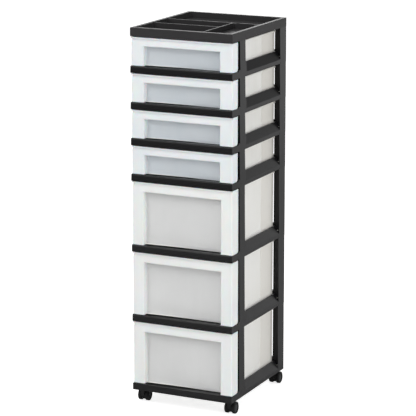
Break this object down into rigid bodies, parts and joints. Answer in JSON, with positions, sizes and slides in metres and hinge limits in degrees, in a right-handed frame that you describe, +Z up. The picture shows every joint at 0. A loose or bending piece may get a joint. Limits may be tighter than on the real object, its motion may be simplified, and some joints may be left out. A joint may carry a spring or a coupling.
{
  "type": "rolling drawer cart",
  "caption": "Tall rolling cart of stacked plastic frames with shallow and deep pull-out drawers, an open organiser top and swivel casters.",
  "frame": {"origin": "centre of the footprint on the floor, under the middle of the cart", "axes": "+Z up, drawers open towards -Y, +X to the right of someone facing +Y"},
  "size_m": [0.306, 0.362, 1.064],
  "materials": {
    "frame_black": "fine moulded grain, satin",
    "drawer_white": "translucent, frosted",
    "caster_black": "smooth",
    "steel": "zinc plated"
  },
  "bodies": {
    "cabinet": {"organizer_top": "frame_black", "tier_frame_1": "frame_black", "tier_frame_2": "frame_black", "tier_frame_3": "frame_black", "tier_frame_4": "frame_black", "tier_frame_5": "frame_black", "tier_frame_6": "frame_black", "tier_frame_7": "frame_black"},
    "drawer_body_1": {"drawer_1": "drawer_white"},
    "drawer_body_2": {"drawer_2": "drawer_white"},
    "drawer_body_3": {"drawer_3": "drawer_white"},
    "drawer_body_4": {"drawer_4": "drawer_white"},
    "drawer_body_5": {"drawer_5": "drawer_white"},
    "drawer_body_6": {"drawer_6": "drawer_white"},
    "drawer_body_7": {"drawer_7": "drawer_white"},
    "caster_front_left": {"caster_housing_front_left": "caster_black", "caster_stem_front_left": "steel", "caster_axle_front_left": "steel"},
    "wheel_inner_body_front_left": {"wheel_inner_front_left": "caster_black"},
    "wheel_outer_body_front_left": {"wheel_outer_front_left": "caster_black"},
    "caster_front_right": {"caster_housing_front_right": "caster_black", "caster_stem_front_right": "steel", "caster_axle_front_right": "steel"},
    "wheel_inner_body_front_right": {"wheel_inner_front_right": "caster_black"},
    "wheel_outer_body_front_right": {"wheel_outer_front_right": "caster_black"},
    "caster_rear_left": {"caster_housing_rear_left": "caster_black", "caster_stem_rear_left": "steel", "caster_axle_rear_left": "steel"},
    "wheel_inner_body_rear_left": {"wheel_inner_rear_left": "caster_black"},
    "wheel_outer_body_rear_left": {"wheel_outer_rear_left": "caster_black"},
    "caster_rear_right": {"caster_housing_rear_right": "caster_black", "caster_stem_rear_right": "steel", "caster_axle_rear_right": "steel"},
    "wheel_inner_body_rear_right": {"wheel_inner_rear_right": "caster_black"},
    "wheel_outer_body_rear_right": {"wheel_outer_rear_right": "caster_black"}
  },
  "joints": [
    {"name": "drawer_1_slide", "type": "slide", "parent": "cabinet", "child": "drawer_body_1", "axis": [0, -1, 0], "range_m": [0, 0.265]},
    {"name": "drawer_2_slide", "type": "slide", "parent": "cabinet", "child": "drawer_body_2", "axis": [0, -1, 0], "range_m": [0, 0.265]},
    {"name": "drawer_3_slide", "type": "slide", "parent": "cabinet", "child": "drawer_body_3", "axis": [0, -1, 0], "range_m": [0, 0.265]},
    {"name": "drawer_4_slide", "type": "slide", "parent": "cabinet", "child": "drawer_body_4", "axis": [0, -1, 0], "range_m": [0, 0.265]},
    {"name": "drawer_5_slide", "type": "slide", "parent": "cabinet", "child": "drawer_body_5", "axis": [0, -1, 0], "range_m": [0, 0.265]},
    {"name": "drawer_6_slide", "type": "slide", "parent": "cabinet", "child": "drawer_body_6", "axis": [0, -1, 0], "range_m": [0, 0.265]},
    {"name": "drawer_7_slide", "type": "slide", "parent": "cabinet", "child": "drawer_body_7", "axis": [0, -1, 0], "range_m": [0, 0.265]},
    {"name": "caster_front_left_swivel", "type": "hinge", "parent": "cabinet", "child": "caster_front_left", "pos_m": [-0.1345, -0.152, 0.04], "axis": [0, 0, 1], "continuous": true},
    {"name": "wheel_inner_front_left_spin", "type": "hinge", "parent": "caster_front_left", "child": "wheel_inner_body_front_left", "pos_m": [-0.1235, -0.141, 0.016], "axis": [1, 0, 0], "continuous": true},
    {"name": "wheel_outer_front_left_spin", "type": "hinge", "parent": "caster_front_left", "child": "wheel_outer_body_front_left", "pos_m": [-0.1455, -0.141, 0.016], "axis": [1, 0, 0], "continuous": true},
    {"name": "caster_front_right_swivel", "type": "hinge", "parent": "cabinet", "child": "caster_front_right", "pos_m": [0.1345, -0.152, 0.04], "axis": [0, 0, 1], "continuous": true},
    {"name": "wheel_inner_front_right_spin", "type": "hinge", "parent": "caster_front_right", "child": "wheel_inner_body_front_right", "pos_m": [0.1235, -0.141, 0.016], "axis": [1, 0, 0], "continuous": true},
    {"name": "wheel_outer_front_right_spin", "type": "hinge", "parent": "caster_front_right", "child": "wheel_outer_body_front_right", "pos_m": [0.1455, -0.141, 0.016], "axis": [1, 0, 0], "continuous": true},
    {"name": "caster_rear_left_swivel", "type": "hinge", "parent": "cabinet", "child": "caster_rear_left", "pos_m": [-0.1345, 0.152, 0.04], "axis": [0, 0, 1], "continuous": true},
    {"name": "wheel_inner_rear_left_spin", "type": "hinge", "parent": "caster_rear_left", "child": "wheel_inner_body_rear_left", "pos_m": [-0.1235, 0.163, 0.016], "axis": [1, 0, 0], "continuous": true},
    {"name": "wheel_outer_rear_left_spin", "type": "hinge", "parent": "caster_rear_left", "child": "wheel_outer_body_rear_left", "pos_m": [-0.1455, 0.163, 0.016], "axis": [1, 0, 0], "continuous": true},
    {"name": "caster_rear_right_swivel", "type": "hinge", "parent": "cabinet", "child": "caster_rear_right", "pos_m": [0.1345, 0.152, 0.04], "axis": [0, 0, 1], "continuous": true},
    {"name": "wheel_inner_rear_right_spin", "type": "hinge", "parent": "caster_rear_right", "child": "wheel_inner_body_rear_right", "pos_m": [0.1235, 0.163, 0.016], "axis": [1, 0, 0], "continuous": true},
    {"name": "wheel_outer_rear_right_spin", "type": "hinge", "parent": "caster_rear_right", "child": "wheel_outer_body_rear_right", "pos_m": [0.1455, 0.163, 0.016], "axis": [1, 0, 0], "continuous": true}
  ]
}
